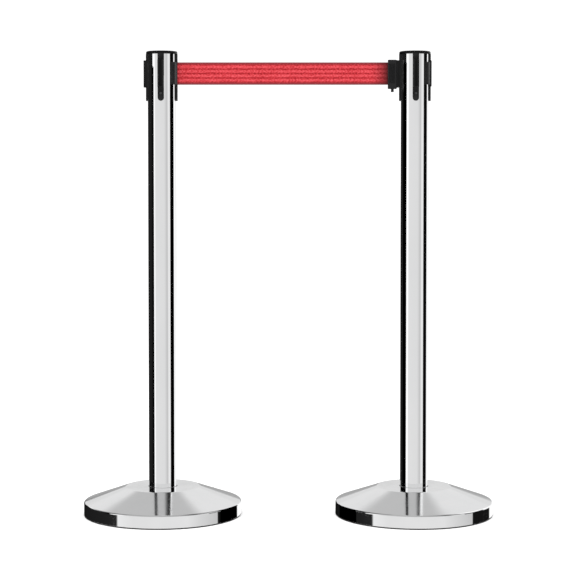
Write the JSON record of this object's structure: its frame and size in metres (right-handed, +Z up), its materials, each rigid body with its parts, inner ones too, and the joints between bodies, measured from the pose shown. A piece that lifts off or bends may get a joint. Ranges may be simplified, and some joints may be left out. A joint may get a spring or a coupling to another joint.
{
  "type": "retractable belt stanchion pair",
  "caption": "Two polished steel queue posts with weighted round bases and black slotted heads, joined by a red retractable webbing belt with a lift-out clip.",
  "frame": {"origin": "on the floor, midway between the two posts", "axes": "+X along the belt from the left post to the right post, +Z up, -Y towards the viewer"},
  "size_m": [0.884, 0.34, 1],
  "materials": {
    "polished_steel": "polished",
    "black_plastic": "satin moulded",
    "inner_plastic": "matt moulded",
    "red_webbing": "woven polyester",
    "rubber": "matt",
    "cast_iron": "painted rough casting",
    "zinc_steel": "zinc plated",
    "black_steel": "black oxide",
    "spring_steel": "blued"
  },
  "bodies": {
    "left_post": {"left_floor_ring": "rubber", "left_base_weight": "cast_iron", "left_base_cover": "polished_steel", "left_tie_rod": "zinc_steel", "left_tie_nuts": "zinc_steel", "left_foot_plug": "zinc_steel", "left_tube": "polished_steel", "left_head_collar": "inner_plastic", "left_cassette_front": "inner_plastic", "left_cassette_rear": "inner_plastic", "left_cassette_screws": "zinc_steel", "left_axle": "zinc_steel", "left_axle_ring": "spring_steel", "left_belt_guides": "zinc_steel", "left_receivers": "black_plastic", "left_exit_frame": "black_plastic", "left_receiver_screws": "zinc_steel", "left_top_cap": "black_plastic", "left_cap_screw": "black_steel", "left_belt": "red_webbing"},
    "left_spool": {"left_spool": "inner_plastic", "left_belt_coil": "red_webbing", "left_power_spring": "spring_steel"},
    "right_post": {"right_floor_ring": "rubber", "right_base_weight": "cast_iron", "right_base_cover": "polished_steel", "right_tie_rod": "zinc_steel", "right_tie_nuts": "zinc_steel", "right_foot_plug": "zinc_steel", "right_tube": "polished_steel", "right_head_collar": "inner_plastic", "right_cassette_front": "inner_plastic", "right_cassette_rear": "inner_plastic", "right_cassette_screws": "zinc_steel", "right_axle": "zinc_steel", "right_axle_ring": "spring_steel", "right_belt_guides": "zinc_steel", "right_receivers": "black_plastic", "right_exit_frame": "black_plastic", "right_receiver_screws": "zinc_steel", "right_top_cap": "black_plastic", "right_cap_screw": "black_steel", "right_belt": "red_webbing"},
    "right_spool": {"right_spool": "inner_plastic", "right_belt_coil": "red_webbing", "right_power_spring": "spring_steel"},
    "belt_clip": {"left_clip_front": "black_plastic", "left_clip_rear": "black_plastic", "left_clip_bar": "zinc_steel", "left_clip_screws": "black_steel", "left_lock_spring": "spring_steel", "left_belt_end": "red_webbing"},
    "belt_clip_lock": {"left_clip_lock": "black_plastic"},
    "right_clip": {"right_clip_front": "black_plastic", "right_clip_rear": "black_plastic", "right_clip_bar": "zinc_steel", "right_clip_screws": "black_steel", "right_lock_spring": "spring_steel"},
    "right_clip_lock": {"right_clip_lock": "black_plastic"}
  },
  "joints": [
    {"name": "post_spacing", "type": "slide", "parent": "left_post", "child": "right_post", "axis": [1, 0, 0], "range_m": [-0.2, 1.45], "deforming": ["left_belt"]},
    {"name": "left_spool_spin", "type": "hinge", "parent": "left_post", "child": "left_spool", "pos_m": [-0.2816, 0, 0.952], "axis": [0, 0, 1], "range_deg": [-1152.2, 8228.2]},
    {"name": "clip_lift", "type": "slide", "parent": "right_post", "child": "belt_clip", "axis": [0, 0, 1], "range_m": [0, 0.059], "deforming": ["left_belt_end"]},
    {"name": "clip_lock_slide", "type": "slide", "parent": "belt_clip", "child": "belt_clip_lock", "axis": [-1, 0, 0], "range_m": [0, 0.0025], "stiffness_N_per_m": 300, "springref_m": -0.003, "deforming": ["left_lock_spring"]},
    {"name": "right_belt_pull", "type": "slide", "parent": "right_post", "child": "right_clip", "axis": [1, 0, 0], "range_m": [0, 1.92], "stiffness_N_per_m": 3, "springref_m": -1.5, "deforming": ["right_belt"]},
    {"name": "right_spool_spin", "type": "hinge", "parent": "right_post", "child": "right_spool", "pos_m": [0.2624, 0, 0.952], "axis": [0, 0, 1], "range_deg": [-20, 9931.7]},
    {"name": "right_clip_lock_slide", "type": "slide", "parent": "right_clip", "child": "right_clip_lock", "axis": [-1, 0, 0], "range_m": [0, 0.0025], "stiffness_N_per_m": 300, "springref_m": -0.003, "deforming": ["right_lock_spring"]}
  ],
  "couplings": [
    {"joint": "left_spool_spin", "follows": "post_spacing", "rad_per_m": 98.8},
    {"joint": "right_spool_spin", "follows": "right_belt_pull", "rad_per_m": 90.1}
  ]
}
